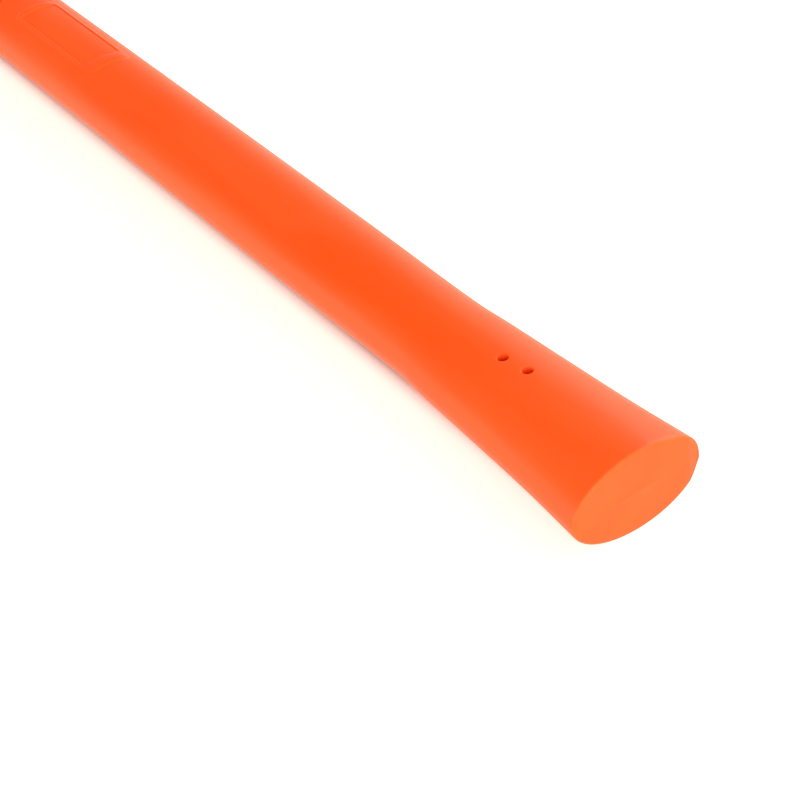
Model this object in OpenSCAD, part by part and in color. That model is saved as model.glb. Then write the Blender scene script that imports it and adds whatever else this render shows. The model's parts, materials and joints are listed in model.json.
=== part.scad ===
// Two-component handle for a felling axe: a glass-fibre core, an orange jacket and a black grip.
// +X runs from the head end to the butt, Y is the depth in the plane of the swing, +Z is up.
// The handle lies on one of its flat faces. The origin is the middle of the head-end face.

/* [Overall] */
// Length from the head-end face to the butt
handle_length = 900; // [860:5:960]
// Depth of the straight shaft behind the eye seat
shaft_depth = 38.4; // [37:0.2:41]
// Thickness of the shaft
shaft_thickness = 27.4; // [26.8:0.2:29]
// Depth of the swell in front of the middle of the shaft
swell_depth = 39.5; // [38:0.1:42]

/* [Eye seat] */
// Depth of the flared head end
eye_depth = 53; // [46:0.5:58]
// Thickness of the flared head end
eye_thickness = 30.4; // [28:0.1:32]
// Length of the flare that the axe head is driven onto
eye_length = 106; // [90:1:120]
// Rounding of the edge of the head-end face
eye_edge_round = 1.2; // [0.6:0.1:2]

/* [Core] */
// Depth of the flat-oval rod
core_depth = 26; // [22:0.5:27]
// Thickness of the flat-oval rod
core_thickness = 15; // [12:0.5:16]
// Plastic that closes the head end over the rod
core_head_cover = 8; // [5:1:14]
// Distance of the rod's end from the butt
core_butt_cover = 52; // [50:1:60]

/* [Core locating holes] */
// Diameter of the holes that the mould's locating pins leave, down to the rod
pin_hole_d = 4; // [3:0.1:5]
// Distance of the first hole from the head-end face
pin_hole_x = 57.3; // [50:1:70]
// Spacing of the two holes along the handle
pin_hole_spacing = 11; // [8:0.5:16]
// Distance of the holes from the centreline, the first to one side and the second to the other
pin_hole_offset = 0.8; // [0:0.1:1]

/* [Grip] */
// Length of the grip on its centreline
grip_length = 378.4; // [370:0.2:400]
// Radius of the tongue with which the jacket ends at the grip
tongue_r = 28.4; // [24:0.2:40]
// Depth of the slim waist in front of the butt
waist_depth = 36.2; // [35.6:0.1:39]
// Thickness of the waist
waist_thickness = 25.8; // [25:0.1:28]
// Depth of the flared butt
butt_depth = 38.6; // [38:0.1:42]
// Thickness of the flared butt
butt_thickness = 27.4; // [26:0.1:30]
// Length of the domed end of the butt
butt_dome_length = 8.6; // [6:0.1:10]
// Share of the section that the dome has drawn in where it ends
butt_dome_share = 0.62; // [0.4:0.01:0.7]
// Depth of the neck of the jacket that the grip is moulded on
neck_depth = 32; // [30:0.5:32.5]
// Thickness of that neck
neck_thickness = 21; // [19:0.5:21.5]
// Wall of the grip behind the neck
butt_wall = 6; // [5:0.5:7]

/* [Grip grooves] */
// Number of grooves along each narrow side
groove_count = 26; // [20:1:26]
// Distance from groove to groove
groove_pitch = 11.7; // [10:0.1:11.7]
// Width of one groove
groove_width = 5; // [3:0.5:7]
// Depth of the grooves on the narrow sides
groove_depth = 0.6; // [0.3:0.1:1]

/* [Windows] */
// Length of the oval window
oval_length = 41.6; // [30:0.2:50]
// Width of the oval window
oval_width = 14.7; // [10:0.1:16]
// Distance of the oval window's middle from the butt
oval_from_butt = 330.4; // [325:0.2:335]
// Length of the triangular window
triangle_length = 23.8; // [16:0.2:26]
// Width of the triangular window at its base
triangle_width = 16; // [12:0.2:18]
// Distance of the triangle's base from the butt
triangle_from_butt = 61.8; // [58:0.2:66]
// Width of the window around the hanging hole, straight in front and round behind
eyelet_width = 18.7; // [16:0.1:20]
// Distance of that window's straight side from the butt
eyelet_front_from_butt = 42.5; // [40:0.1:46]

/* [Hanging hole] */
// Diameter of the hole
hang_hole_d = 10.4; // [8:0.1:12]
// Distance of the hole's axis from the butt
hang_hole_from_butt = 27.4; // [26:0.1:30]
// Depth of the dish around the hole, below each flat face
dish_depth = 4; // [2:0.1:5]
// Width of the flat rim between the dish and the window's edge
dish_rim = 1.2; // [0.8:0.1:2]

/* [Hidden] */

$fn = 64;
section_sides = 40;
round_steps = 4;
dome_steps = 7;
corner_r = 0.8;
beyond = 40;

tongue_tip_x = handle_length - grip_length;
tongue_centre_x = tongue_tip_x - tongue_r;
neck_start_x = tongue_centre_x - 10;
neck_end_x = handle_length - butt_wall;
core_start_x = core_head_cover;
core_end_x = handle_length - core_butt_cover;
oval_x = handle_length - oval_from_butt;
triangle_base_x = handle_length - triangle_from_butt;
eyelet_front_x = handle_length - eyelet_front_from_butt;
hang_hole_x = handle_length - hang_hole_from_butt;
first_groove_x = tongue_tip_x + 24;
butt_dome_x = handle_length - butt_dome_length;

// How much of the flare is left at a fraction of the eye seat's length
flare = [[0, 1], [0.28, 0.64], [0.57, 0.40], [0.85, 0.18], [1, 0.02], [1.15, 0]];

// Depth and thickness of the section along the handle
depth_along = concat(
    [for (f = flare) [f[0] * eye_length, shaft_depth + f[1] * (eye_depth - shaft_depth)]],
    [
        [160, swell_depth - 0.4],
        [245, swell_depth],
        [330, swell_depth - 0.5],
        [450, shaft_depth],
        [handle_length - 220, shaft_depth - 0.4],
        [handle_length - 160, shaft_depth - 0.7],
        [handle_length - 100, (shaft_depth + waist_depth) / 2],
        [handle_length - 58, waist_depth],
        [handle_length - 36, waist_depth],
        [handle_length - 20, (waist_depth + butt_depth) / 2 - 0.5],
        [handle_length - butt_dome_length, butt_depth],
        [handle_length, butt_depth]
    ]);
thickness_along = [
    [0, eye_thickness],
    [eye_length, shaft_thickness],
    [handle_length - 160, shaft_thickness],
    [handle_length - 58, waist_thickness],
    [handle_length - 36, waist_thickness],
    [handle_length - butt_dome_length, butt_thickness],
    [handle_length, butt_thickness]];

// Distances along the handle where the section changes, between two ends
function stations(from, to) =
    [for (p = depth_along) if (p[0] > from && p[0] < to) p[0]];

// How far the rounded edge of the head-end face draws the section in
function edge_inset(x) =
    x < eye_edge_round
        ? eye_edge_round - sqrt(pow(eye_edge_round, 2) - pow(eye_edge_round - x, 2))
    : 0;

// How much of the section the domed butt leaves
function dome_scale(x) =
    x > butt_dome_x
        ? 1 - butt_dome_share
            * (1 - sqrt(max(0, 1 - pow((x - butt_dome_x) / butt_dome_length, 2))))
    : 1;

function half_depth(x) = lookup(x, depth_along) / 2 * dome_scale(x) - edge_inset(x);
function half_thickness(x) = lookup(x, thickness_along) / 2 * dome_scale(x) - edge_inset(x);

// Grooves are full on the narrow sides and fade out before the flat faces
function groove_fade(angle) = min(1, max(0, (abs(cos(angle)) - 0.6) / 0.3));

// One elliptical ring of points, cut in at its narrow sides by a groove
function ring(x, cut) = [
    for (i = [0:section_sides - 1])
        let (angle = 360 * i / section_sides, side = sign(cos(angle)))
            [
                x,
                half_depth(x) * cos(angle) - side * cut * groove_fade(angle),
                half_thickness(x) * sin(angle)
            ]];

// A closed solid through rings given as [distance, groove cut]
module sweep(rings) {
    sides = section_sides;
    last = len(rings) - 1;
    points = [for (r = rings) each ring(r[0], r[1])];
    walls = [
        for (k = [0:last - 1], i = [0:sides - 1])
            let (j = (i + 1) % sides)
                [k * sides + i, (k + 1) * sides + i, (k + 1) * sides + j, k * sides + j]];
    front = [for (i = [0:sides - 1]) i];
    back = [for (i = [sides - 1:-1:0]) last * sides + i];
    polyhedron(points = points, faces = concat([front], walls, [back]), convexity = 4);
}

// The plain outer form between two distances
module plain_form(from, to) {
    sweep([for (x = concat([from], stations(from, to), [to])) [x, 0]]);
}

// The outer form from the head-end face, with its rounded edge
module head_form(to) {
    edge = [for (k = [0:round_steps]) eye_edge_round * (1 - cos(90 * k / round_steps))];
    sweep([for (x = concat(edge, stations(eye_edge_round, to), [to])) [x, 0]]);
}

// The outer form of the grip, with its grooves and its domed butt
module grooved_form(from) {
    grooves = [
        for (n = [0:groove_count - 1])
            let (x = first_groove_x + n * groove_pitch)
                each [[x - groove_width / 2, 0], [x, groove_depth], [x + groove_width / 2, 0]]];
    last_groove_x = first_groove_x + groove_count * groove_pitch;
    dome = [
        for (k = [0:dome_steps])
            [butt_dome_x + butt_dome_length * sin(90 * k / dome_steps), 0]];
    sweep(concat(
        [[from, 0]],
        grooves,
        [for (x = stations(last_groove_x, butt_dome_x)) [x, 0]],
        dome));
}

// A flat-oval bar along X
module flat_bar(from, to, depth, thickness) {
    radius = thickness / 2;
    reach = depth / 2 - radius;
    translate([from, 0, 0])
        rotate([90, 0, 90])
            linear_extrude(to - from) {
                square([2 * reach, thickness], center = true);
                for (side = [-1, 1])
                    translate([side * reach, 0])
                        circle(radius);
            }
}

// A column through the whole thickness, with a plan outline as its child
module through() {
    translate([0, 0, -beyond])
        linear_extrude(2 * beyond)
            children();
}

// Plan of everything in front of the grip: the jacket ends in a round tongue
module tongue_plan() {
    translate([-beyond, -beyond])
        square([tongue_centre_x + beyond, 2 * beyond]);
    translate([tongue_centre_x, 0])
        circle(tongue_r, $fn = 128);
}

// Plan of the oval window, a little more pointed than an ellipse
module oval_plan() {
    pointed = 1.08;
    half = [oval_length / 2, oval_width / 2];
    polygon([
        for (angle = [0:7.5:359])
            [
                oval_x + half[0] * cos(angle),
                half[1] * sign(sin(angle)) * pow(abs(sin(angle)), pointed)
            ]]);
}

// Plan of the triangular window, which points to the head
module triangle_plan() {
    hull() {
        translate([triangle_base_x - triangle_length + corner_r, 0])
            circle(corner_r, $fn = 24);
        for (side = [-1, 1])
            translate([triangle_base_x - corner_r, side * (triangle_width / 2 - corner_r)])
                circle(corner_r, $fn = 24);
    }
}

// Plan of the window around the hanging hole, drawn in by a rim
module eyelet_plan(rim) {
    radius = eyelet_width / 2 - rim;
    hull() {
        translate([hang_hole_x, 0])
            circle(radius, $fn = 48);
        for (side = [-1, 1])
            translate([eyelet_front_x + rim + corner_r, side * (radius - corner_r)])
                circle(corner_r, $fn = 24);
    }
}

module window_plans() {
    oval_plan();
    triangle_plan();
    eyelet_plan(0);
}

// The dish that leads from the window's rim down to the hanging hole
module dish() {
    floor_z = lookup(hang_hole_x, thickness_along) / 2 - dish_depth;
    hull() {
        translate([0, 0, floor_z + dish_depth])
            linear_extrude(beyond)
                eyelet_plan(dish_rim);
        translate([hang_hole_x, 0, floor_z])
            cylinder(h = beyond, d = hang_hole_d, $fn = 32);
    }
}

// A round hole through both walls
module hole(x, y, d) {
    translate([x, y, -beyond])
        cylinder(h = 2 * beyond, d = d);
}

module core() {
    color([0.86, 0.82, 0.66])
        flat_bar(core_start_x, core_end_x, core_depth, core_thickness);
}

module jacket() {
    color([1, 0.35, 0.16])
        difference() {
            union() {
                intersection() {
                    head_form(tongue_tip_x + 5);
                    through()
                        tongue_plan();
                }
                flat_bar(neck_start_x, neck_end_x, neck_depth, neck_thickness);
                intersection() {
                    plain_form(oval_x - oval_length, butt_dome_x);
                    through()
                        window_plans();
                }
            }
            flat_bar(core_start_x, core_end_x, core_depth, core_thickness);
            for (n = [0, 1])
                hole(pin_hole_x + n * pin_hole_spacing, (2 * n - 1) * pin_hole_offset, pin_hole_d);
            hole(hang_hole_x, 0, hang_hole_d);
            for (up = [0, 1])
                mirror([0, 0, up])
                    dish();
        }
}

module grip() {
    color([0.13, 0.14, 0.14])
        difference() {
            grooved_form(tongue_centre_x);
            flat_bar(neck_start_x, neck_end_x, neck_depth, neck_thickness);
            through() {
                tongue_plan();
                window_plans();
            }
        }
}

core();
jacket();
grip();
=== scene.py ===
import json
import math

import bpy
import numpy as np
from mathutils import Matrix, Vector


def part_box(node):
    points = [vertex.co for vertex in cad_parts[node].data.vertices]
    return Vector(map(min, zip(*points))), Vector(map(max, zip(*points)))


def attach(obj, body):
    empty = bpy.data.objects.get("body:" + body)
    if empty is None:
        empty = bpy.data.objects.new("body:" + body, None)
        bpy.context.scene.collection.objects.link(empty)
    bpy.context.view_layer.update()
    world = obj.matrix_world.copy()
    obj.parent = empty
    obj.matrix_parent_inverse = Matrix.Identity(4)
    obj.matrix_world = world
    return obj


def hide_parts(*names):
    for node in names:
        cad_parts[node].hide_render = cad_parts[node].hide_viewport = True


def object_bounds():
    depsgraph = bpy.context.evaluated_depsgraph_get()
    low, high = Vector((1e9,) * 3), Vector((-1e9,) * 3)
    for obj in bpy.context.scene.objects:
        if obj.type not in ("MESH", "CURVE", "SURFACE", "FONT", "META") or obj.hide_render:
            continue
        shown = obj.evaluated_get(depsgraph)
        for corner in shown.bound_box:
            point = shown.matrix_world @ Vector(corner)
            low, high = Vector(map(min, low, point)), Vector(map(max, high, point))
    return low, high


# Looks of a two-component felling-axe handle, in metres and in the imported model's frame:
# +X from the head end to the butt, Y across the depth in the plane of the swing, +Z up.
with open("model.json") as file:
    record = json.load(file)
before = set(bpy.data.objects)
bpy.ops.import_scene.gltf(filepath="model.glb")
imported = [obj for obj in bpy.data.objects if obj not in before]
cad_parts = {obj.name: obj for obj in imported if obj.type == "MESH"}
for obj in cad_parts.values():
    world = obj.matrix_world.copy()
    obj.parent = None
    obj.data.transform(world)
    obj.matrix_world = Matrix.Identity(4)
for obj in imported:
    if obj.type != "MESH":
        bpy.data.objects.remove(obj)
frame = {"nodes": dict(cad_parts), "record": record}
CAD_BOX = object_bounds()

MM = 0.001

# ---------------------------------------------------------------- places read from the frame
GRIP_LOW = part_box("grip")[0]
CORE_LOW, CORE_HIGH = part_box("core")
MOUNTS = {mount["name"]: mount for mount in frame["record"]["mounts"]}
HANG_HOLE_X = MOUNTS["hanging_hole"]["pos_m"][0]
HANG_HOLE_R = MOUNTS["hanging_hole"]["dims"]["r_mm"] * MM
LENGTH = CAD_BOX[1].x - CAD_BOX[0].x
FLOOR_Z = CAD_BOX[0].z

# ---------------------------------------------------------------- driving sizes
EYE_DEPTH = 53 * MM
EYE_THICKNESS = 30.4 * MM
EYE_LENGTH = 106 * MM
EYE_EDGE_R = 1.2 * MM
SHAFT_DEPTH = 38.4 * MM
SHAFT_THICKNESS = 27.4 * MM
SWELL_DEPTH = 39.5 * MM
SWELL_X = 245 * MM
SWELL_REACH = 85 * MM
SWELL_END_X = 450 * MM
GRIP_TAPER_X = LENGTH - 160 * MM
WAIST_DEPTH = 36.2 * MM
WAIST_THICKNESS = 25.8 * MM
WAIST_START_X = LENGTH - 58 * MM
WAIST_END_X = LENGTH - 36 * MM
BUTT_DEPTH = 38.6 * MM
BUTT_THICKNESS = 27.4 * MM
BUTT_DOME_LENGTH = 8.6 * MM
BUTT_DOME_SHARE = 0.62
BUTT_WALL = 6 * MM
NECK_DEPTH = 32 * MM
NECK_THICKNESS = 21 * MM
NECK_PLAY = 0.05 * MM
CORE_DEPTH = CORE_HIGH.y - CORE_LOW.y
CORE_THICKNESS = CORE_HIGH.z - CORE_LOW.z
TONGUE_R = 28.4 * MM

# The head-end face is moulded a little skew, and its -Y tip is rounder. The mould's parting
# line is a fine ridge down both narrow sides and in the middle of the face, with a nub beside
# it at that tip
FACE_SKEW = 2.9 * MM
SKEW_REACH = 30 * MM
TIP_ROUNDING = 0.8 * MM
TIP_START = 0.8
RIDGE = 0.07 * MM
RIDGE_HALF_WIDTH = 0.45 * MM
NUB = 0.3 * MM
NUB_HEIGHT = -1.9 * MM
NUB_HALF_WIDTH = 1.8 * MM
NUB_START_X = 0.8 * MM
NUB_LENGTH = 2.6 * MM
FACE_RIDGE_HALF_LENGTH = 6 * MM
FACE_RIDGE_FADE = 5 * MM
FACE_RIDGE_CREST = 0.1 * MM
FACE_RIDGE_SLOPE = 0.3 * MM

# Round wells that the mould's locating pins leave, down to the core, as (x, y)
PIN_HOLE_R = 2 * MM
PIN_HOLES = [(57.3 * MM, -0.8 * MM), (68.3 * MM, 0.8 * MM)]
PINS_START = PIN_HOLES[0][0] - 5 * MM
PINS_END = PIN_HOLES[-1][0] + 5 * MM

# Grooves across the grip's narrow sides. They fade out towards the flat faces, by the cosine of
# the angle round the section, and the rings there are spaced at a part of their pitch
GROOVE_COUNT = 26
GROOVE_PITCH = 11.7 * MM
GROOVE_WIDTH = 5.4 * MM
GROOVE_DEPTH = 0.6 * MM
GROOVE_STEPS = 12
GROOVE_FADE_START = 0.66
GROOVE_FADE = 0.26

# Windows in the grip, the dished hanging hole in the last one, and the mark of the gate
OVAL_LENGTH = 41.6 * MM
OVAL_WIDTH = 14.7 * MM
OVAL_X = LENGTH - 330.4 * MM
OVAL_POINTEDNESS = 1.08
TRIANGLE_LENGTH = 23.8 * MM
TRIANGLE_WIDTH = 16 * MM
TRIANGLE_BASE_X = LENGTH - 61.8 * MM
TRIANGLE_MIDDLE_X = TRIANGLE_BASE_X - 0.36 * TRIANGLE_LENGTH
EYELET_WIDTH = 18.7 * MM
EYELET_FRONT_X = LENGTH - 42.5 * MM
CORNER_R = 0.8 * MM
DISH_DEPTH = 4 * MM
DISH_RIM = 1.2 * MM
DISH_STEPS = (0.0, 0.04, 0.1, 0.2, 0.35, 0.5, 0.65, 0.8, 0.9, 1.0)
HOLE_EDGE_R = 0.5 * MM
HOLE_EDGE_STEPS = [(0.5, 0.12), (0.8, 0.3), (1.0, 0.7), (1.0, 2.0)]
GATE_X = 703 * MM
GATE_R = 1.5 * MM
GATE_STEPS = [(1.0, 0.0), (0.88, 0.1), (0.7, 0.3), (0.5, 0.45), (0.25, 0.5)]
GATE_PIP_DROP = 0.3 * MM

# In plan the jacket ends in a round tongue, and the grip's grooves start behind the tongue's tip
TONGUE_CENTRE_X = GRIP_LOW.x - math.sqrt(TONGUE_R ** 2 - (SHAFT_DEPTH / 2) ** 2)
TONGUE_TIP_X = TONGUE_CENTRE_X + TONGUE_R
FIRST_GROOVE_X = TONGUE_TIP_X + 24 * MM
NECK_END_X = LENGTH - BUTT_WALL

# The blank plate on the shaft: raised, with a plain sunk field that has a fine groove round it.
# Each outline is (middle, half length, half width, corner radius). The steps are how far in from
# the outline, in millimetres, and the share of the rise that is reached there.
PLATE = (373.2 * MM, 34.8 * MM, 9.5 * MM, 3 * MM)
PLATE_FIELD = (375.4 * MM, 29.1 * MM, 8.4 * MM, 1.6 * MM)
PLATE_RISE = 0.35 * MM
PLATE_STEPS = [(-0.45, 0.0), (-0.2, 0.3), (0.05, 0.75), (0.35, 1.0)]
FIELD_STEPS = [(-0.45, 1.0), (-0.15, 0.7), (0.05, 0.2), (0.25, -0.15), (0.5, -0.25),
               (0.8, -0.2), (1.1, -0.05), (1.4, 0.0)]

# Rounded edges, as (distance from the edge, drop below the surface): the lip along a seam
# between two mouldings, and the lip of a locating hole
LIP = [(away * MM, drop * MM) for away, drop in
       [(0.0, 0.40), (0.04, 0.22), (0.14, 0.09), (0.3, 0.02), (0.6, 0.0)]]
PIN_LIP = [(away * MM, drop * MM) for away, drop in
           [(0.0, 0.25), (0.07, 0.08), (0.2, 0.015), (0.35, 0.0)]]
FULL_WEAR_DROP = 0.1 * MM
SEAM_PLAY = 0.03 * MM

# Share of the flare that is left at a fraction of the eye seat's length
FLARE = [(0, 1), (0.28, 0.64), (0.57, 0.40), (0.85, 0.18), (1, 0.02), (1.15, 0)]

# The camera stands above and beside the head end. Its lens is in millimetres, for a 36 mm
# sensor, and its three directions are those of the picture's right, its lower edge and its depth
CAMERA_LENS = 98.0
CAMERA_PLACE = (-0.40146, 0.31153, 0.42535)
CAMERA_RIGHT = (-0.56008, -0.82261, -0.09809)
CAMERA_DOWN = (-0.45565, 0.40477, -0.79281)
CAMERA_AHEAD = (0.69188, -0.39934, -0.60153)

# Light: softboxes in watts, and the tent's brightness on the head end's side and on the butt's.
# The floor glows, except under the handle, where a shadow is painted into it by cutting the glow
# and darkening the paper:
# as far as PAINTED_SHADOW_HALF_WIDTH from its middle line, and no nearer than PAINTED_SHADOW_END to
# its ends
LIGHT_COLOUR = (1.0, 0.975, 0.88)
HORIZON_NEAR = 1.45
HORIZON_FAR = 0.95
OVERHEAD_NEAR = 1.0
OVERHEAD_FAR = 0.10
LEFT_POWER = 19
RIGHT_POWER = 46
FRONT_POWER = 15
FLOOR_GLOW = 0.7
FLOOR_SIZE = 12.0
PAINTED_SHADOW_HALF_WIDTH = 8 * MM
PAINTED_SHADOW_END = 14 * MM

# Spacing of the rings of points along the handle, and how many its rounded ends take
PLAIN_STEP = 2.5 * MM
FINE_STEP = 1.5 * MM
PIN_STEP = 0.6 * MM
HOLLOW_STEP = 8 * MM
FINE_END_X = 110 * MM
EDGE_RINGS = 7
DOME_RINGS = 14
SHARP_ANGLE = math.radians(50)

# The flat of a bar's section is crossed faster than the cosine of the angle, by this factor,
# which leaves its round edges enough points
FLAT_CROSSING = 1.8

# Angles round the section: close together at the narrow sides, where the parting line runs
QUARTER = [0.0, 0.6, 1.4, 3.0] + [6.0 + 3 * i for i in range(29)]
ANGLES = np.radians(
    QUARTER[:-1]
    + [180 - a for a in QUARTER[:0:-1]]
    + [180 + a for a in QUARTER[:-1]]
    + [360 - a for a in QUARTER[:0:-1]])
COLUMNS = len(ANGLES)


# ---------------------------------------------------------------- form of the handle
def smooth_curve(points):
    """A curve through the points that never overshoots them (monotone cubic)."""
    xs, ys = (np.array(values, float) for values in zip(*points))
    steps = np.diff(xs)
    slopes = np.diff(ys) / steps
    tangents = np.concatenate([[slopes[0]], (slopes[:-1] + slopes[1:]) / 2, [slopes[-1]]])
    turns = np.concatenate([[False], slopes[:-1] * slopes[1:] <= 0, [False]])
    tangents[turns] = 0
    limit = 3 * np.minimum(np.abs(np.append(slopes, slopes[-1])),
                           np.abs(np.insert(slopes, 0, slopes[0])))
    tangents = np.clip(tangents, -limit, limit)

    def curve(x):
        x = np.clip(x, xs[0], xs[-1])
        k = np.clip(np.searchsorted(xs, x, side="right") - 1, 0, len(steps) - 1)
        t = (x - xs[k]) / steps[k]
        return (ys[k] * (1 + 2 * t) * (1 - t) ** 2 + ys[k + 1] * t * t * (3 - 2 * t)
                + steps[k] * t * (1 - t) * (tangents[k] * (1 - t) - tangents[k + 1] * t))

    return curve


DEPTH = smooth_curve(
    [(f * EYE_LENGTH, SHAFT_DEPTH + share * (EYE_DEPTH - SHAFT_DEPTH)) for f, share in FLARE]
    + [(SWELL_X - SWELL_REACH, SWELL_DEPTH - 0.4 * MM),
       (SWELL_X, SWELL_DEPTH),
       (SWELL_X + SWELL_REACH, SWELL_DEPTH - 0.5 * MM),
       (SWELL_END_X, SHAFT_DEPTH),
       (GRIP_TAPER_X - 60 * MM, SHAFT_DEPTH - 0.4 * MM),
       (GRIP_TAPER_X, SHAFT_DEPTH - 0.7 * MM),
       (GRIP_TAPER_X + 60 * MM, (SHAFT_DEPTH + WAIST_DEPTH) / 2),
       (WAIST_START_X, WAIST_DEPTH),
       (WAIST_END_X, WAIST_DEPTH),
       (WAIST_END_X + 16 * MM, (WAIST_DEPTH + BUTT_DEPTH) / 2 - 0.5 * MM),
       (LENGTH - BUTT_DOME_LENGTH, BUTT_DEPTH),
       (LENGTH, BUTT_DEPTH)])
THICKNESS = smooth_curve(
    [(0, EYE_THICKNESS),
     (EYE_LENGTH, SHAFT_THICKNESS),
     (GRIP_TAPER_X, SHAFT_THICKNESS),
     (WAIST_START_X, WAIST_THICKNESS),
     (WAIST_END_X, WAIST_THICKNESS),
     (LENGTH - BUTT_DOME_LENGTH, BUTT_THICKNESS),
     (LENGTH, BUTT_THICKNESS)])


def smooth_step(x):
    """A soft rise from 0 to 1 while x does the same."""
    x = np.clip(x, 0, 1)
    return x * x * (3 - 2 * x)


def edge_inset(x):
    """How far the rounded edge of the head-end face draws the section in."""
    front = np.clip(EYE_EDGE_R - x, 0, EYE_EDGE_R)
    return EYE_EDGE_R - np.sqrt(EYE_EDGE_R ** 2 - front ** 2)


def dome_scale(x):
    """How much of the section the domed butt leaves."""
    share = np.clip((x - LENGTH + BUTT_DOME_LENGTH) / BUTT_DOME_LENGTH, 0, 1)
    return 1 - BUTT_DOME_SHARE * (1 - np.sqrt(1 - share ** 2))


def half_depth(x):
    """Half the outer form's size along Y."""
    return DEPTH(x) / 2 * dome_scale(x) - edge_inset(x)


def half_thickness(x):
    """Half the outer form's size along Z."""
    return THICKNESS(x) / 2 * dome_scale(x) - edge_inset(x)


def face_setback(angle):
    """How far the head-end face stands back: most on its -Y side, and more at the tip."""
    tip = smooth_step((-np.cos(angle) - TIP_START) / 0.2)
    return FACE_SKEW * (1 - np.cos(angle)) / 2 + TIP_ROUNDING * tip


def skewed(x, angle):
    """Moves a place near the head-end face back with the face."""
    return x + face_setback(angle) * (1 - np.clip(x / SKEW_REACH, 0, 1))


def unskewed(x, angle):
    """Distance from the head-end face, measured as if the face were square."""
    setback = face_setback(angle)
    return np.where(x < SKEW_REACH, (x - setback) * SKEW_REACH / (SKEW_REACH - setback), x)


def parting_ridge(x, angle):
    """Height of the fine flash line where the mould halves met, and of the nub at its end."""
    height = np.sin(angle) * half_thickness(x)
    line = RIDGE * (1 - smooth_step(np.abs(height) / RIDGE_HALF_WIDTH))
    at_tip = (np.cos(angle) < 0) * (1 - smooth_step((x - NUB_START_X) / NUB_LENGTH))
    off_nub = np.abs(height - NUB_HEIGHT) / NUB_HALF_WIDTH
    return line + NUB * at_tip * (1 - smooth_step(off_nub))


def jacket_section(x, angle):
    """Places round the jacket's section at x, with its rounded edge and its parting ridge."""
    from_face = unskewed(x, angle)
    rise = parting_ridge(from_face, angle) - edge_inset(from_face)
    y = DEPTH(x) / 2 * dome_scale(x) + rise
    z = THICKNESS(x) / 2 * dome_scale(x) + rise
    return y * np.cos(angle), z * np.sin(angle)


def groove_cut(x):
    """Depth of the row of grooves at x, a rounded hollow each."""
    n = np.clip(np.round((x - FIRST_GROOVE_X) / GROOVE_PITCH), 0, GROOVE_COUNT - 1)
    off = np.abs(x - FIRST_GROOVE_X - n * GROOVE_PITCH) / (GROOVE_WIDTH / 2)
    return GROOVE_DEPTH * (0.5 + 0.5 * np.cos(math.pi * np.clip(off, 0, 1)))


def grip_section(x, angle):
    """Places round the grip's section at x: grooved on the narrow sides only."""
    y, z = jacket_section(x, angle)
    on_side = smooth_step((np.abs(np.cos(angle)) - GROOVE_FADE_START) / GROOVE_FADE)
    return y - np.sign(np.cos(angle)) * groove_cut(x) * on_side, z


def bar_height(y, depth, thickness):
    """Half thickness of a flat-oval bar at distance y from its middle."""
    r = thickness / 2
    reach = depth / 2 - r
    return np.sqrt(np.clip(r * r - np.clip(np.abs(y) - reach, 0, r) ** 2, 0, None))


def bar_section(depth, thickness):
    """The section of a flat-oval bar, by the same angles as the ellipses around it."""
    def section(x, angle):
        r = thickness / 2
        across = np.clip(FLAT_CROSSING * np.cos(angle), -1, 1)
        y = (depth / 2 - r) * across + r * np.cos(angle)
        return y, np.sign(np.sin(angle)) * bar_height(y, depth, thickness)
    return section


def top_height(x, y):
    """Height of the outer form over a point of the plan."""
    return half_thickness(x) * np.sqrt(np.clip(1 - (y / half_depth(x)) ** 2, 0, 1))


def tongue_x(angle):
    """Where the round tongue's edge crosses the handle's surface."""
    y = SHAFT_DEPTH / 2 * np.cos(angle)
    return TONGUE_CENTRE_X + np.sqrt(TONGUE_R ** 2 - y ** 2)


# ---------------------------------------------------------------- outlines in plan
def hull_of_circles(circles, count=720):
    """Outline of the tightest shape around circles given as (x, y, radius)."""
    turn = np.linspace(0, 2 * math.pi, count, endpoint=False)
    way = np.stack([np.cos(turn), np.sin(turn)], axis=1)
    centres = np.array([[x, y] for x, y, r in circles])
    radii = np.array([r for x, y, r in circles])
    furthest = np.argmax(way @ centres.T + radii, axis=1)
    return centres[furthest] + radii[furthest, None] * way


def oval_outline():
    """The oval window, a little more pointed than an ellipse."""
    turn = np.linspace(0, 2 * math.pi, 360, endpoint=False)
    rise = np.sign(np.sin(turn)) * np.abs(np.sin(turn)) ** OVAL_POINTEDNESS
    return np.stack([OVAL_X + OVAL_LENGTH / 2 * np.cos(turn), OVAL_WIDTH / 2 * rise], axis=1)


def triangle_outline():
    """The triangular window, which points to the head end."""
    side = TRIANGLE_WIDTH / 2 - CORNER_R
    base = TRIANGLE_BASE_X - CORNER_R
    return hull_of_circles([
        (TRIANGLE_BASE_X - TRIANGLE_LENGTH + CORNER_R, 0, CORNER_R),
        (base, side, CORNER_R),
        (base, -side, CORNER_R)])


def eyelet_outline(rim=0.0):
    """The window around the hanging hole: straight in front, round behind."""
    radius = EYELET_WIDTH / 2 - rim
    front = EYELET_FRONT_X + rim + CORNER_R
    return hull_of_circles([
        (HANG_HOLE_X, 0, radius),
        (front, radius - CORNER_R, CORNER_R),
        (front, CORNER_R - radius, CORNER_R)])


def circle_outline(x, y, radius):
    """A circle, as many points as the other outlines have."""
    return hull_of_circles([(x, y, radius)])


def plate_outline(plate, inset=0.0):
    """A rounded rectangle given as (middle, half length, half width, corner radius)."""
    middle, half_x, half_y, corner = plate
    return hull_of_circles([
        (middle + end * (half_x - corner), side * (half_y - corner), corner - inset)
        for end in (-1, 1) for side in (-1, 1)])


def plate_ends(margin):
    """The ends of the plate along the handle, moved out by a margin."""
    middle, half_x = PLATE[:2]
    return middle - half_x - margin, middle + half_x + margin


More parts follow.
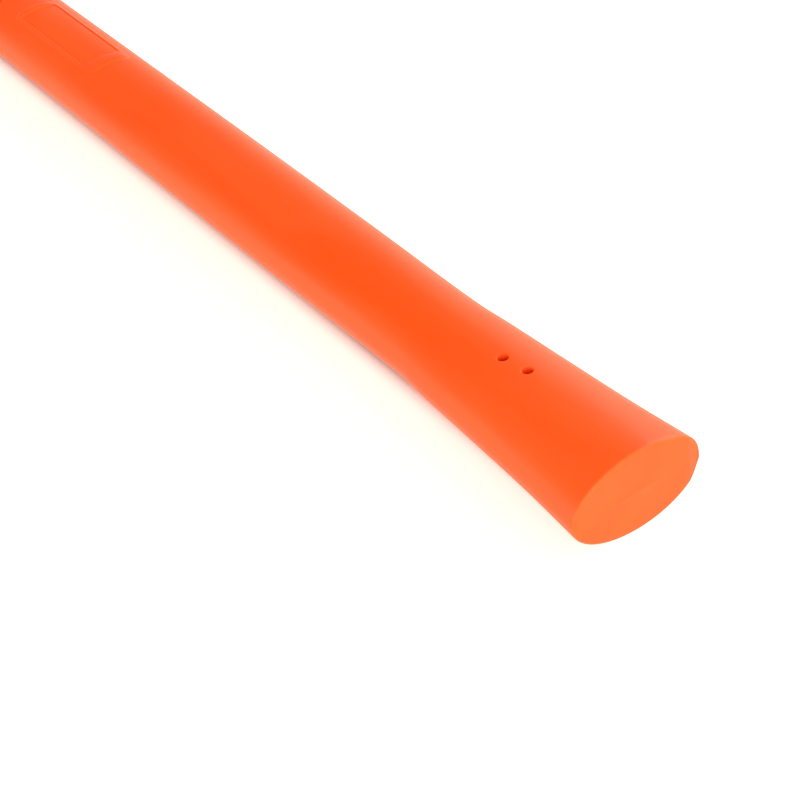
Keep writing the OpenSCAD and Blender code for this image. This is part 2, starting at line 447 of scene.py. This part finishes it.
def cast(outline, centre, aims):
    """Where the rays from centre through each aim cross a convex outline around it."""
    start = outline - centre
    edge = np.roll(start, -1, axis=0) - start
    way = aims - centre
    across = way[:, None, 0] * edge[None, :, 1] - way[:, None, 1] * edge[None, :, 0]
    across = np.where(np.abs(across) < 1e-15, 1e-15, across)
    reach = (start[:, 0] * edge[:, 1] - start[:, 1] * edge[:, 0])[None, :] / across
    share = (start[None, :, 0] * way[:, None, 1] - start[None, :, 1] * way[:, None, 0]) / across
    hit = (reach > 0) & (share >= -1e-6) & (share <= 1 + 1e-6)
    return centre + way * np.where(hit, reach, np.inf).min(axis=1)[:, None]


def lip_wear(drop):
    """Wear on a rounded edge, full from a small drop below the surface on."""
    return min(1.0, drop / FULL_WEAR_DROP)


def towards(a, b, distance):
    """Points moved from a towards b by a distance."""
    way = b - a
    return a + way * (distance / np.maximum(np.linalg.norm(way, axis=1), 1e-9))[:, None]


# ---------------------------------------------------------------- mesh making
class Skin:
    """Points and faces of one closed piece, made loop by loop. Wear runs from 0 to 1."""

    def __init__(self):
        self.points = []
        self.wear = []
        self.faces = []
        self.count = 0

    def loop(self, x, y, z, wear=0.0):
        """Adds a loop of points and returns their numbers."""
        made = np.stack(np.broadcast_arrays(x, y, z), axis=1)
        numbers = np.arange(self.count, self.count + len(made))
        self.points.append(made)
        self.wear.append(np.full(len(made), wear))
        self.count += len(made)
        return numbers

    def places(self, numbers):
        """The places of points by their numbers."""
        return np.concatenate(self.points)[numbers]

    def quads(self, a, b, c, d):
        """A quad for each four points at the same place in the lists."""
        self.faces += zip(a.tolist(), b.tolist(), c.tolist(), d.tolist())

    def bridge(self, outside, inside):
        """Quads from one loop to the next, for loops that run clockwise seen from outside."""
        self.quads(outside, inside, np.roll(inside, -1), np.roll(outside, -1))

    def chain(self, loops):
        """Bridges a row of loops, each to the next."""
        for outside, inside in zip(loops, loops[1:]):
            self.bridge(outside, inside)

    def close(self, loop, centre):
        """Triangles from a clockwise loop to a point in its middle."""
        tip = int(self.loop(*([value] for value in centre))[0])
        self.faces += [(a, tip, b) for a, b in zip(loop.tolist(), np.roll(loop, -1).tolist())]

    def tube(self, rings, section, windows=(), inward=False):
        """Rings given as (x, drop, wear), joined by quads except in the windows' cells."""
        table = []
        for x, drop, wear in rings:
            y, z = section(x, ANGLES)
            table.append(self.loop(
                x, y - drop * np.cos(ANGLES), z - drop * np.sin(ANGLES), wear))
        table = np.array(table)
        shown = np.ones((len(table) - 1, COLUMNS), bool)
        for window in windows:
            first, last = window.span(rings)
            shown[first:last, window.first_column:window.last_column] = False
        across = np.roll(table, -1, axis=1)
        corners = [table[:-1][shown], across[:-1][shown], across[1:][shown], table[1:][shown]]
        self.quads(*(corners[::-1] if inward else corners))
        return table

    def build(self, name, material, slot, *nodes):
        """Turns the skin into a piece that stands for CAD nodes."""
        used = np.zeros(self.count, bool)
        used[[number for face in self.faces for number in face]] = True
        renumbered = (np.cumsum(used) - 1).tolist()
        faces = [[renumbered[number] for number in face] for face in self.faces]
        mesh = bpy.data.meshes.new(name)
        mesh.from_pydata(np.concatenate(self.points)[used].tolist(), [], faces)
        mesh.attributes.new("wear", "FLOAT", "POINT").data.foreach_set(
            "value", np.concatenate(self.wear)[used].astype(np.float32))
        mesh.polygons.foreach_set("use_smooth", np.ones(len(mesh.polygons), bool))
        mesh.set_sharp_from_angle(angle=SHARP_ANGLE)
        mesh.materials.append(material)
        piece = bpy.data.objects.new(name, mesh)
        bpy.context.scene.collection.objects.link(piece)
        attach(piece, "root")
        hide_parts(*nodes)


class Window:
    """A shape in a flat face. One in the lower face is worked out turned round X, facing up."""

    def __init__(self, centre, outline, ends, half_columns, up):
        self.side = 1 if up else -1
        self.centre = np.array([centre[0], self.side * centre[1]])
        self.outline = outline * [1, self.side]
        self.ends = ends
        middle = COLUMNS // 4 if up else 3 * COLUMNS // 4
        self.first_column = middle - half_columns
        self.last_column = middle + half_columns
        self.along = 0
        self.across = 0

    def span(self, rings):
        """The first and last ring of the cells that the window takes out of a tube."""
        xs = np.array([np.min(ring[0]) for ring in rings])
        return np.searchsorted(xs, self.ends[0]), np.searchsorted(xs, self.ends[1])

    def opening(self, skin, table, rings):
        """The clockwise loop round the cells left out, and its places in the plan."""
        first, last = self.span(rings)
        a, b = self.first_column, self.last_column
        self.along = last - first
        self.across = b - a
        loop = np.concatenate([
            table[first:last, a],
            table[last, a:b],
            table[last:first:-1, b],
            table[first, b:a:-1]])
        return loop, skin.places(loop)[:, :2] * [1, self.side]

    def put(self, skin, plan, z, wear=0.0):
        """A loop at places in the plan, at height z."""
        return skin.loop(plan[:, 0], self.side * plan[:, 1], self.side * z, wear)

    def rim(self, places, outline=None):
        """Where the rays from the centre to the places cross an outline, or else the window's."""
        return cast(self.outline if outline is None else outline, self.centre, places)

    def lip(self, skin, start, away, profile, wear=0.0):
        """Loops from a rim over a rounded edge, ending with the one at the rim itself."""
        loops = []
        for distance, drop in reversed(profile):
            plan = towards(start, away, distance)
            loops.append(self.put(
                skin, plan, top_height(*plan.T) - drop, lip_wear(drop) * wear))
        return loops

    def mirrored(self, loop):
        """The loop renumbered so that it lines up with the same window's in the other face."""
        order = (2 * self.along + self.across - np.arange(len(loop))) % len(loop)
        return loop[order]


def straight(low, high, step):
    """Plain rings from low up to, but not at, high."""
    count = max(1, round((high - low) / step))
    return [(np.full(COLUMNS, low + (high - low) * i / count), 0.0, 0.0) for i in range(count)]


def between(start, end, fractions):
    """Plain rings at fractions of the way from one ring to another."""
    return [(start + (end - start) * f, 0.0, 0.0) for f in fractions]


def collar(skin, window, edge, places, start, height):
    """Loops from the cells left out to the start of the window's rim, on the surface."""
    loops = [edge]
    for share in (0.72, 0.46, 0.22):
        plan = start + (places - start) * share
        loops.append(window.put(skin, plan, height(*plan.T)))
    return loops


def window_pair(centre_x, outline, start, end, half_columns):
    """The same window in the upper and in the lower face."""
    return [Window((centre_x, 0), outline, (start, end), half_columns, up) for up in (True, False)]


def grip_windows():
    """The grip's three windows in each face, with some surface around each for its collar."""
    reach = 4.5 * MM
    return {
        "oval": window_pair(
            OVAL_X, oval_outline(),
            OVAL_X - OVAL_LENGTH / 2 - reach, OVAL_X + OVAL_LENGTH / 2 + reach, 13),
        "triangle": window_pair(
            TRIANGLE_MIDDLE_X, triangle_outline(),
            TRIANGLE_BASE_X - TRIANGLE_LENGTH - reach, TRIANGLE_BASE_X + reach, 13),
        "eyelet": window_pair(
            HANG_HOLE_X, eyelet_outline(),
            EYELET_FRONT_X - reach, HANG_HOLE_X + EYELET_WIDTH / 2 + reach * 0.8, 15),
    }


def pin_windows():
    """The locating holes in both faces."""
    return [
        Window((x, y), circle_outline(x, y, PIN_HOLE_R),
               (x - 2.2 * PIN_HOLE_R, x + 2.2 * PIN_HOLE_R), 5, up)
        for x, y in PIN_HOLES for up in (True, False)]


def grip_rings():
    """Rings of the grip's outer face, from the seam with the tongue to the butt."""
    seam = tongue_x(ANGLES) + SEAM_PLAY
    rings = [(seam + distance, drop, lip_wear(drop)) for distance, drop in LIP]
    first_straight = TONGUE_TIP_X + 6 * MM
    rings += between(seam + LIP[-1][0], np.full(COLUMNS, first_straight), (0.2, 0.45, 0.7))
    rings += straight(first_straight, LENGTH - BUTT_DOME_LENGTH, GROOVE_PITCH / GROOVE_STEPS)
    for k in range(DOME_RINGS + 1):
        turn = math.pi / 2 * k / DOME_RINGS
        x = LENGTH - BUTT_DOME_LENGTH * (1 - math.sin(turn))
        rings.append((np.full(COLUMNS, x), 0.0, 0.0))
    return rings


def neck_rings(windows):
    """Rings of the neck: fine at the windows, where they match the grip's, and sparse elsewhere."""
    full = grip_rings()
    rings = [(tongue_x(ANGLES), 0.0, 0.0)]
    for k, ring in enumerate(full[len(LIP) + 3:]):
        x = ring[0][0]
        near = any(w.ends[0] - 2 * MM < x < w.ends[1] + 2 * MM for w in windows)
        if x < NECK_END_X - 1 * MM and (near or k % GROOVE_STEPS == 0):
            rings.append(ring)
    rings.append((np.full(COLUMNS, NECK_END_X), 0.0, 0.0))
    return rings


def jacket_rings():
    """Rings of the jacket's outer face, from the head-end face to the seam with the grip."""
    rings = []
    for k in range(EDGE_RINGS):
        turn = math.pi / 2 * k / EDGE_RINGS
        x = EYE_EDGE_R * (1 - math.cos(turn))
        rings.append((skewed(x, ANGLES), 0.0, 0.25 * math.sin(2 * turn)))
    plate_low, plate_high = plate_ends(6 * MM)
    last_straight = TONGUE_TIP_X - 14 * MM
    rings += [(skewed(x, ANGLES), drop, wear)
              for x, drop, wear in straight(EYE_EDGE_R, PINS_START, FINE_STEP)]
    rings += straight(PINS_START, PINS_END, PIN_STEP)
    rings += straight(PINS_END, FINE_END_X, FINE_STEP)
    rings += straight(FINE_END_X, plate_low, PLAIN_STEP)
    rings += straight(plate_low, plate_high, FINE_STEP)
    rings += straight(plate_high, last_straight, PLAIN_STEP)
    seam = tongue_x(ANGLES) - SEAM_PLAY
    rings += between(np.full(COLUMNS, last_straight), seam - LIP[-1][0], (0, 0.3, 0.6, 0.85))
    rings += [(seam - distance, drop, lip_wear(drop)) for distance, drop in reversed(LIP)]
    return rings


def face_ridge(y, z):
    """Height of the fine raised line in the middle of the head-end face."""
    along = 1 - smooth_step((abs(y) - FACE_RIDGE_HALF_LENGTH) / FACE_RIDGE_FADE)
    across = 1 - smooth_step((abs(z) - FACE_RIDGE_CREST) / FACE_RIDGE_SLOPE)
    return RIDGE * along * across


def face_grid(skin, ring):
    """Fills the ring that faces the head end with columns of points, closer in the middle."""
    places = skin.places(ring)
    half = COLUMNS // 2
    columns = []
    for u in range(1, half):
        x, y, z = places[u]
        rows = [z * f for f in (0.8, 0.55, 0.3)]
        rows += [min(0.45 * MM, z * 0.2), min(0.2 * MM, z * 0.1), 0.0]
        rows += [-r for r in rows[-2::-1]]
        x_rows = [x - face_ridge(y, r) for r in rows]
        made = skin.loop(x_rows, np.full(len(rows), y), rows)
        columns.append(np.concatenate([[ring[u]], made, [ring[COLUMNS - u]]]))
    for left, right in zip(columns, columns[1:]):
        skin.quads(left[:-1], left[1:], right[1:], right[:-1])
    tips = [(columns[0], int(ring[0]), 1), (columns[-1], int(ring[half]), -1)]
    for column, tip, way in tips:
        for a, b in zip(column.tolist(), column[1:].tolist()):
            skin.faces.append((tip, b, a)[::way])


def pin_hole(skin, window, edge, places, bottom_edge):
    """A round well from the jacket's face down to the core."""
    rim = window.rim(places)
    start = towards(rim, places, PIN_LIP[-1][0])
    loops = collar(skin, window, edge, places, start, top_height)
    loops += window.lip(skin, rim, places, PIN_LIP)
    floor = bar_height(rim[:, 1], CORE_DEPTH, CORE_THICKNESS)
    for share in (0.5, 1.0):
        z = (1 - share) * (top_height(*rim.T) - PIN_LIP[0][1]) + share * floor
        loops.append(window.put(skin, rim, z))
    skin.chain(loops + [bottom_edge])


def plate(skin, window, edge, places):
    """The blank raised plate with its sunk field."""
    levels = [(PLATE, inset, share) for inset, share in PLATE_STEPS]
    levels += [(PLATE_FIELD, inset, share) for inset, share in FIELD_STEPS]
    start = window.rim(places, plate_outline(PLATE, PLATE_STEPS[0][0] * MM))
    loops = collar(skin, window, edge, places, start, top_height)
    for shape, inset, share in levels:
        plan = window.rim(places, plate_outline(shape, inset * MM))
        z = top_height(*plan.T) + PLATE_RISE * share
        loops.append(window.put(skin, plan, z))
    for share in (0.75, 0.5, 0.25):
        inner = window.centre + (plan - window.centre) * share
        loops.append(window.put(skin, inner, top_height(*inner.T)))
    skin.chain(loops)
    x, y = window.centre
    skin.close(loops[-1], (x, y, window.side * top_height(x, y)))


def gate_mark(skin, window, edge, places):
    """The small round hollow that the grip's gate leaves, with a low pip in its middle."""
    rim = window.rim(places)
    loops = collar(skin, window, edge, places, rim, top_height)
    for share, drop in GATE_STEPS:
        plan = window.centre + (rim - window.centre) * share
        loops.append(window.put(skin, plan, top_height(*plan.T) - drop * MM))
    skin.chain(loops)
    x, y = window.centre
    skin.close(loops[-1], (x, y, window.side * (top_height(x, y) - GATE_PIP_DROP)))


def neck_height(x, y):
    """Height of the neck over a point of the plan; it is the same all along."""
    return bar_height(y, NECK_DEPTH, NECK_THICKNESS) - NECK_PLAY


def boss_wall(skin, window, edge, places):
    """Loops from the neck up the side of a boss and over its rounded edge, and its rim."""
    full_rim = window.rim(places)
    rim = towards(full_rim, window.centre[None, :], SEAM_PLAY)
    loops = collar(skin, window, edge, places, rim, neck_height)
    loops.append(window.put(skin, rim, neck_height(*rim.T)))
    loops += window.lip(skin, rim, window.centre[None, :], LIP, 1.0)[::-1]
    return loops, rim


def plain_boss(skin, window, edge, places):
    """A boss that fills its window, flush with the grip."""
    loops, rim = boss_wall(skin, window, edge, places)
    edge_plan = towards(rim, window.centre[None, :], LIP[-1][0])
    for share in (0.88, 0.7, 0.5, 0.3, 0.12):
        plan = window.centre + (edge_plan - window.centre) * share
        loops.append(window.put(skin, plan, top_height(*plan.T)))
    skin.chain(loops)
    x, y = window.centre
    skin.close(loops[-1], (x, y, window.side * top_height(x, y)))


def eyelet_boss(skin, window, edge, places):
    """The boss with the dish that leads into the hanging hole; returns the hole's last loop."""
    loops = boss_wall(skin, window, edge, places)[0]
    floor = half_thickness(HANG_HOLE_X) - DISH_DEPTH
    brim = window.rim(places, eyelet_outline(DISH_RIM))
    mouth = window.rim(places, circle_outline(HANG_HOLE_X, 0, HANG_HOLE_R + HOLE_EDGE_R))
    hole = window.rim(places, circle_outline(HANG_HOLE_X, 0, HANG_HOLE_R))
    brim_z = top_height(*brim.T)
    for share in DISH_STEPS:
        plan = brim + (mouth - brim) * share
        fall = 0.6 * share + 0.4 * smooth_step(share)
        loops.append(window.put(skin, plan, brim_z + (floor - brim_z) * fall))
    for share, drop in HOLE_EDGE_STEPS:
        plan = mouth + (hole - mouth) * share
        loops.append(window.put(skin, plan, np.full(len(plan), floor - drop * MM)))
    skin.chain(loops)
    return loops[-1]


def make_jacket(material):
    """The orange jacket: outer face, neck with its bosses, and the space that the core fills."""
    skin = Skin()
    windows = grip_windows()
    pins = pin_windows()
    mark = Window((PLATE[0], 0), plate_outline(PLATE), plate_ends(4 * MM), 15, True)
    rings = jacket_rings()
    outer = skin.tube(rings, jacket_section, pins + [mark])
    face_grid(skin, outer[0])
    plate(skin, mark, *mark.opening(skin, outer, rings))

    bosses = sum(windows.values(), [])
    neck = neck_rings(bosses)
    neck_form = bar_section(NECK_DEPTH - 2 * NECK_PLAY, NECK_THICKNESS - 2 * NECK_PLAY)
    inner = skin.tube(neck, neck_form, bosses)
    skin.bridge(inner[0], outer[-1])
    skin.close(inner[-1][::-1], (NECK_END_X, 0, 0))
    for name in ("oval", "triangle"):
        for window in windows[name]:
            plain_boss(skin, window, *window.opening(skin, inner, neck))
    upper, lower = (eyelet_boss(skin, window, *window.opening(skin, inner, neck))
                    for window in windows["eyelet"])
    skin.bridge(upper, windows["eyelet"][0].mirrored(lower))

    hollow = straight(CORE_LOW.x, PINS_START, HOLLOW_STEP)
    hollow += straight(PINS_START, PINS_END, PIN_STEP)
    hollow += straight(PINS_END, CORE_HIGH.x, 2.5 * HOLLOW_STEP)
    hollow.append((np.full(COLUMNS, CORE_HIGH.x), 0.0, 0.0))
    lining = skin.tube(hollow, bar_section(CORE_DEPTH, CORE_THICKNESS), pins, inward=True)
    skin.close(lining[0][::-1], (CORE_LOW.x, 0, 0))
    skin.close(lining[-1], (CORE_HIGH.x, 0, 0))
    for window in pins:
        edge, places = window.opening(skin, outer, rings)
        bottom = window.opening(skin, lining, hollow)[0]
        pin_hole(skin, window, edge, places, bottom)
    skin.build("jacket_skin", material, "orange_plastic", "jacket")


def make_grip(material):
    """The black grip: outer face with grooves and windows, and the pocket that holds the neck."""
    skin = Skin()
    holes = sum(grip_windows().values(), [])
    gate = Window((GATE_X, 0), circle_outline(GATE_X, 0, GATE_R),
                  (GATE_X - 3.4 * MM, GATE_X + 3.4 * MM), 3, True)
    rings = grip_rings()
    outer = skin.tube(rings, grip_section, holes + [gate])
    butt = [outer[-1]]
    places = skin.places(outer[-1])
    for share in (0.9, 0.7, 0.45, 0.2):
        butt.append(skin.loop(LENGTH, places[:, 1] * share, places[:, 2] * share))
    for small, large in zip(butt[1:], butt):
        skin.bridge(small, large)
    skin.close(butt[-1][::-1], (LENGTH, 0, 0))
    gate_mark(skin, gate, *gate.opening(skin, outer, rings))

    pocket = neck_rings(holes)
    inner = skin.tube(pocket, bar_section(NECK_DEPTH, NECK_THICKNESS), holes, inward=True)
    skin.bridge(outer[0], inner[0])
    skin.close(inner[-1], (NECK_END_X, 0, 0))
    for window in holes:
        edge, places = window.opening(skin, outer, rings)
        bottom = window.opening(skin, inner, pocket)[0]
        rim = towards(window.rim(places), places, SEAM_PLAY)
        start = towards(rim, places, LIP[-1][0])
        loops = collar(skin, window, edge, places, start, top_height)
        loops += window.lip(skin, rim, places, LIP, 1.0)
        height = bar_height(rim[:, 1], NECK_DEPTH, NECK_THICKNESS)
        loops.append(window.put(skin, rim, height))
        skin.chain(loops + [bottom])
    skin.build("grip_skin", material, "black_rubber", "grip")


# ---------------------------------------------------------------- materials
class Nodes:
    """A node tree that calls add nodes to. An input is a number, a colour or another's output."""

    def __init__(self, tree):
        self.tree = tree

    def node(self, kind, inputs, output=0, **settings):
        """Adds a node and returns one of its outputs."""
        made = self.tree.nodes.new(kind)
        for key, value in settings.items():
            setattr(made, key, value)
        for key, value in inputs.items():
            if isinstance(value, bpy.types.NodeSocket):
                self.tree.links.new(value, made.inputs[key])
            else:
                made.inputs[key].default_value = value
        return made.outputs[output]

    def spread(self, value, low, high, to_low=0.0, to_high=1.0):
        """Carries a value from one range over to another, with soft ends."""
        return self.node("ShaderNodeMapRange", {
            "Value": value, "From Min": low, "From Max": high,
            "To Min": to_low, "To Max": to_high}, interpolation_type="SMOOTHSTEP")


class Paint(Nodes):
    """A Principled material whose sockets are fed by procedural nodes in object coordinates."""

    def __init__(self, name, **constants):
        self.material = bpy.data.materials.new(name)
        self.material.use_nodes = True
        super().__init__(self.material.node_tree)
        self.shader = self.tree.nodes["Principled BSDF"]
        self.place = self.tree.nodes.new("ShaderNodeTexCoord").outputs["Object"]
        for socket, value in constants.items():
            self.shader.inputs[socket.replace("_", " ")].default_value = value

    def stretched(self, x, y, z, turn=0.0):
        """Coordinates in which one unit is 1/x, 1/y and 1/z of a metre."""
        return self.node("ShaderNodeMapping", {
            "Vector": self.place, "Scale": (x, y, z), "Rotation": (0, 0, turn)})

    def noise(self, vector, detail=3.0, roughness=0.5, distortion=0.0):
        """Soft noise about one unit of the coordinates in size."""
        return self.node("ShaderNodeTexNoise", {
            "Vector": vector, "Scale": 1.0, "Detail": detail,
            "Roughness": roughness, "Distortion": distortion})

    def cells(self, vector):
        """Distance from the middle of the nearest of many irregular cells."""
        return self.node("ShaderNodeTexVoronoi", {"Vector": vector, "Scale": 1.0}, "Distance")

    def maths(self, a, b, operation="ADD"):
        """Two values added up, or put through another operation."""
        return self.node("ShaderNodeMath", {0: a, 1: b}, operation=operation)

    def blend(self, share, a, b):
        """A colour from a to b."""
        return self.node("ShaderNodeMix", {
            0: share, 6: a, 7: b}, output=2, data_type="RGBA")

    def wear(self):
        """How worn a place is: the rounded edges carry it in the mesh, broken up by noise."""
        edges = self.node("ShaderNodeAttribute", {}, "Fac", attribute_name="wear")
        patches = self.spread(self.noise(self.stretched(260, 260, 260)), 0.35, 0.7, 0.35, 1.0)
        return self.maths(edges, patches, "MULTIPLY")

    def bump(self, height, distance, under=None):
        """A normal from heights, in metres of distance, on top of another normal."""
        inputs = {"Height": height, "Distance": distance, "Strength": 1.0}
        if under is not None:
            inputs["Normal"] = under
        return self.node("ShaderNodeBump", inputs)

    def feed(self, **sockets):
        """Links the finished values to the shader and returns the material."""
        for socket, value in sockets.items():
            self.tree.links.new(value, self.shader.inputs[socket.replace("_", " ")])
        return self.material


def orange_plastic():
    """Satin polypropylene: melt flow along the handle, fine spark texture, hairline scratches."""
    paint = Paint("orange_plastic", IOR=1.49, Specular_IOR_Level=0.18)
    flow = paint.noise(paint.stretched(9, 70, 70), 4.0, 0.55, 0.4)
    speckle = paint.noise(paint.stretched(2600, 2600, 2600), 2.0)
    hairs = paint.noise(paint.stretched(40, 2400, 2400, 0.5), 2.0, 0.6)
    cross_hairs = paint.noise(paint.stretched(2100, 55, 2100, -0.35), 2.0, 0.6)
    scratches = paint.maths(
        paint.spread(hairs, 0.70, 0.74), paint.spread(cross_hairs, 0.71, 0.75), "MAXIMUM")
    base = paint.blend(
        paint.spread(flow, 0.35, 0.7), (0.92, 0.081, 0.0085, 1), (0.96, 0.093, 0.0120, 1))
    base = paint.blend(
        paint.spread(speckle, 0.3, 0.7, 0.0, 0.25), base, (0.87, 0.073, 0.0070, 1))
    base = paint.blend(paint.maths(paint.wear(), 0.32, "MULTIPLY"), base, (1.0, 0.30, 0.13, 1))
    base = paint.blend(paint.maths(scratches, 0.16, "MULTIPLY"), base, (1.0, 0.26, 0.12, 1))
    gloss = paint.spread(flow, 0.3, 0.75, 0.36, 0.46)
    gloss = paint.maths(gloss, paint.maths(scratches, 0.18, "MULTIPLY"))
    waves = paint.bump(paint.noise(paint.stretched(60, 120, 120), 2.0), 0.00012)
    grain = paint.bump(paint.noise(paint.stretched(3200, 3200, 3200), 3.0, 0.6), 0.000012, waves)
    marks = paint.bump(paint.maths(scratches, -1.0, "MULTIPLY"), 0.000010, grain)
    return paint.feed(Base_Color=base, Roughness=gloss, Normal=marks)


def black_rubber():
    """Moulded thermoplastic rubber: deep grey-black, fine eroded texture, handling shine."""
    paint = Paint("black_rubber", IOR=1.5, Specular_IOR_Level=0.14)
    clouds = paint.noise(paint.stretched(14, 45, 45), 4.0, 0.55)
    pits = paint.cells(paint.stretched(2300, 2300, 2300))
    grain = paint.noise(paint.stretched(3400, 3400, 3400), 2.0, 0.6)
    base = paint.blend(
        paint.spread(clouds, 0.32, 0.7), (0.0020, 0.0042, 0.0045, 1), (0.0042, 0.0068, 0.0072, 1))
    base = paint.blend(
        paint.spread(pits, 0.05, 0.5, 0.3, 0.0), base, (0.0022, 0.0030, 0.0028, 1))
    base = paint.blend(
        paint.maths(paint.wear(), 0.5, "MULTIPLY"), base, (0.017, 0.020, 0.019, 1))
    dull = paint.spread(clouds, 0.3, 0.72, 0.50, 0.64)
    dull = paint.maths(dull, paint.spread(pits, 0.1, 0.6, 0.08, 0.0))
    texture = paint.bump(pits, 0.00004)
    fine = paint.bump(grain, 0.00002, texture)
    return paint.feed(Base_Color=base, Roughness=dull, Normal=fine)


def glass_fibre():
    """Pultruded rod: resin-rich, pigmented to match, with its fibres along the handle."""
    paint = Paint("glass_fibre", IOR=1.52, Specular_IOR_Level=0.4)
    fibres = paint.noise(paint.stretched(30, 3000, 3000), 3.0, 0.6)
    clouds = paint.noise(paint.stretched(60, 200, 200), 3.0)
    base = paint.blend(
        paint.spread(fibres, 0.3, 0.7), (0.52, 0.055, 0.012, 1), (0.72, 0.11, 0.03, 1))
    base = paint.blend(paint.spread(clouds, 0.4, 0.7, 0.0, 0.4), base, (0.60, 0.14, 0.05, 1))
    dull = paint.spread(fibres, 0.3, 0.7, 0.42, 0.6)
    return paint.feed(Base_Color=base, Roughness=dull, Normal=paint.bump(fibres, 0.00003))


def pale_floor():
    """Seamless white studio paper on a light table, with a painted shadow where the handle covers
    it: the glow is cut out and the colour darkened there.
    """
    paint = Paint("studio_paper", Specular_IOR_Level=0.1, Emission_Color=(*LIGHT_COLOUR, 1))
    x = paint.node("ShaderNodeSeparateXYZ", {0: paint.place})
    y = x.node.outputs["Y"]
    # How far a place lies outside the painted shadow under the handle
    beside = paint.maths(paint.maths(y, 0.0, "ABSOLUTE"), PAINTED_SHADOW_HALF_WIDTH, "SUBTRACT")
    from_middle = paint.maths(paint.maths(x, LENGTH / 2, "SUBTRACT"), 0.0, "ABSOLUTE")
    beyond = paint.maths(from_middle, LENGTH / 2 - PAINTED_SHADOW_END, "SUBTRACT")
    away = paint.maths(beside, beyond, "MAXIMUM")
    # Painted shadow: the floor's glow is cut out under the handle
    glow = paint.spread(away, 0, 10 * MM, 0.0, FLOOR_GLOW)
    fibres = paint.noise(paint.stretched(900, 900, 900), 3.0)
    base = paint.blend(
        paint.spread(fibres, 0.3, 0.7), (0.58, 0.58, 0.58, 1), (0.62, 0.62, 0.62, 1))
    # Painted shadow: the paper's colour is darkened to a warm grey under the handle
    base = paint.blend(paint.spread(away, 0, 6 * MM), (0.22, 0.18, 0.17, 1), base)
    dull = paint.spread(fibres, 0.3, 0.7, 0.85, 0.95)
    return paint.feed(Base_Color=base, Roughness=dull, Emission_Strength=glow)


# ---------------------------------------------------------------- stage, light and camera
def add_floor():
    """The studio paper that the handle lies on."""
    corners = [(x * FLOOR_SIZE, y * FLOOR_SIZE, FLOOR_Z)
               for x, y in ((-1, -1), (1, -1), (1, 1), (-1, 1))]
    mesh = bpy.data.meshes.new("floor")
    mesh.from_pydata(corners, [], [(0, 1, 2, 3)])
    mesh.materials.append(pale_floor())
    floor = bpy.data.objects.new("floor", mesh)
    bpy.context.scene.collection.objects.link(floor)


def add_world():
    """A white light tent: bright round the horizon, and dimmer overhead towards the butt."""
    world = bpy.data.worlds.new("light_tent")
    bpy.context.scene.world = world
    world.use_nodes = True
    tent = Nodes(world.node_tree)
    way = tent.node("ShaderNodeTexCoord", {}, "Generated")
    along = tent.node("ShaderNodeSeparateXYZ", {0: way})
    overhead = tent.spread(along, -0.7, 0.5, OVERHEAD_NEAR, OVERHEAD_FAR)
    horizon = tent.spread(along, 0.1, 0.8, HORIZON_NEAR, HORIZON_FAR)
    strength = tent.spread(along.node.outputs["Z"], 0.05, 0.45, horizon, overhead)
    background = world.node_tree.nodes["Background"]
    world.node_tree.links.new(strength, background.inputs["Strength"])
    background.inputs["Color"].default_value = (*LIGHT_COLOUR, 1)


def add_softbox(name, place, target, size, power):
    """A rectangular lamp that faces its target."""
    light = bpy.data.lights.new(name, "AREA")
    light.shape = "RECTANGLE"
    light.size, light.size_y = size
    light.energy = power
    light.color = LIGHT_COLOUR
    lamp = bpy.data.objects.new(name, light)
    lamp.location = place
    lamp.rotation_euler = (Vector(target) - Vector(place)).to_track_quat("-Z", "Y").to_euler()
    bpy.context.scene.collection.objects.link(lamp)


def add_lights():
    """A low softbox on the left, a higher one on the right, and one on the head end."""
    middle = (LENGTH / 2, 0, 0)
    add_softbox("softbox_left", (LENGTH / 2, 1.6, 0.25), middle, (2.6, 0.6), LEFT_POWER)
    add_softbox("softbox_right", (LENGTH / 2 - 0.15, -1.6, 1.0), middle, (2.6, 0.9), RIGHT_POWER)
    add_softbox("softbox_front", (-1.3, 0.3, 0.5), (0, 0, 0), (1.4, 0.9), FRONT_POWER)


def add_camera():
    """Above and beside the head end, looking down along the handle as the close view does."""
    data = bpy.data.cameras.new("camera")
    data.sensor_width = 36
    data.lens = CAMERA_LENS
    data.clip_start = 0.01
    right, down, ahead = (Vector(v) for v in (CAMERA_RIGHT, CAMERA_DOWN, CAMERA_AHEAD))
    camera = bpy.data.objects.new("camera", data)
    turn = Matrix((right, -down, -ahead)).transposed().to_4x4()
    camera.matrix_world = Matrix.Translation(Vector(CAMERA_PLACE)) @ turn
    bpy.context.scene.collection.objects.link(camera)
    bpy.context.scene.camera = camera


make_jacket(orange_plastic())
make_grip(black_rubber())
core_finish = glass_fibre()
for slot in frame["nodes"]["core"].material_slots:
    slot.material = core_finish

add_floor()
add_world()
add_lights()
add_camera()
bpy.context.scene.view_settings.view_transform = "Standard"
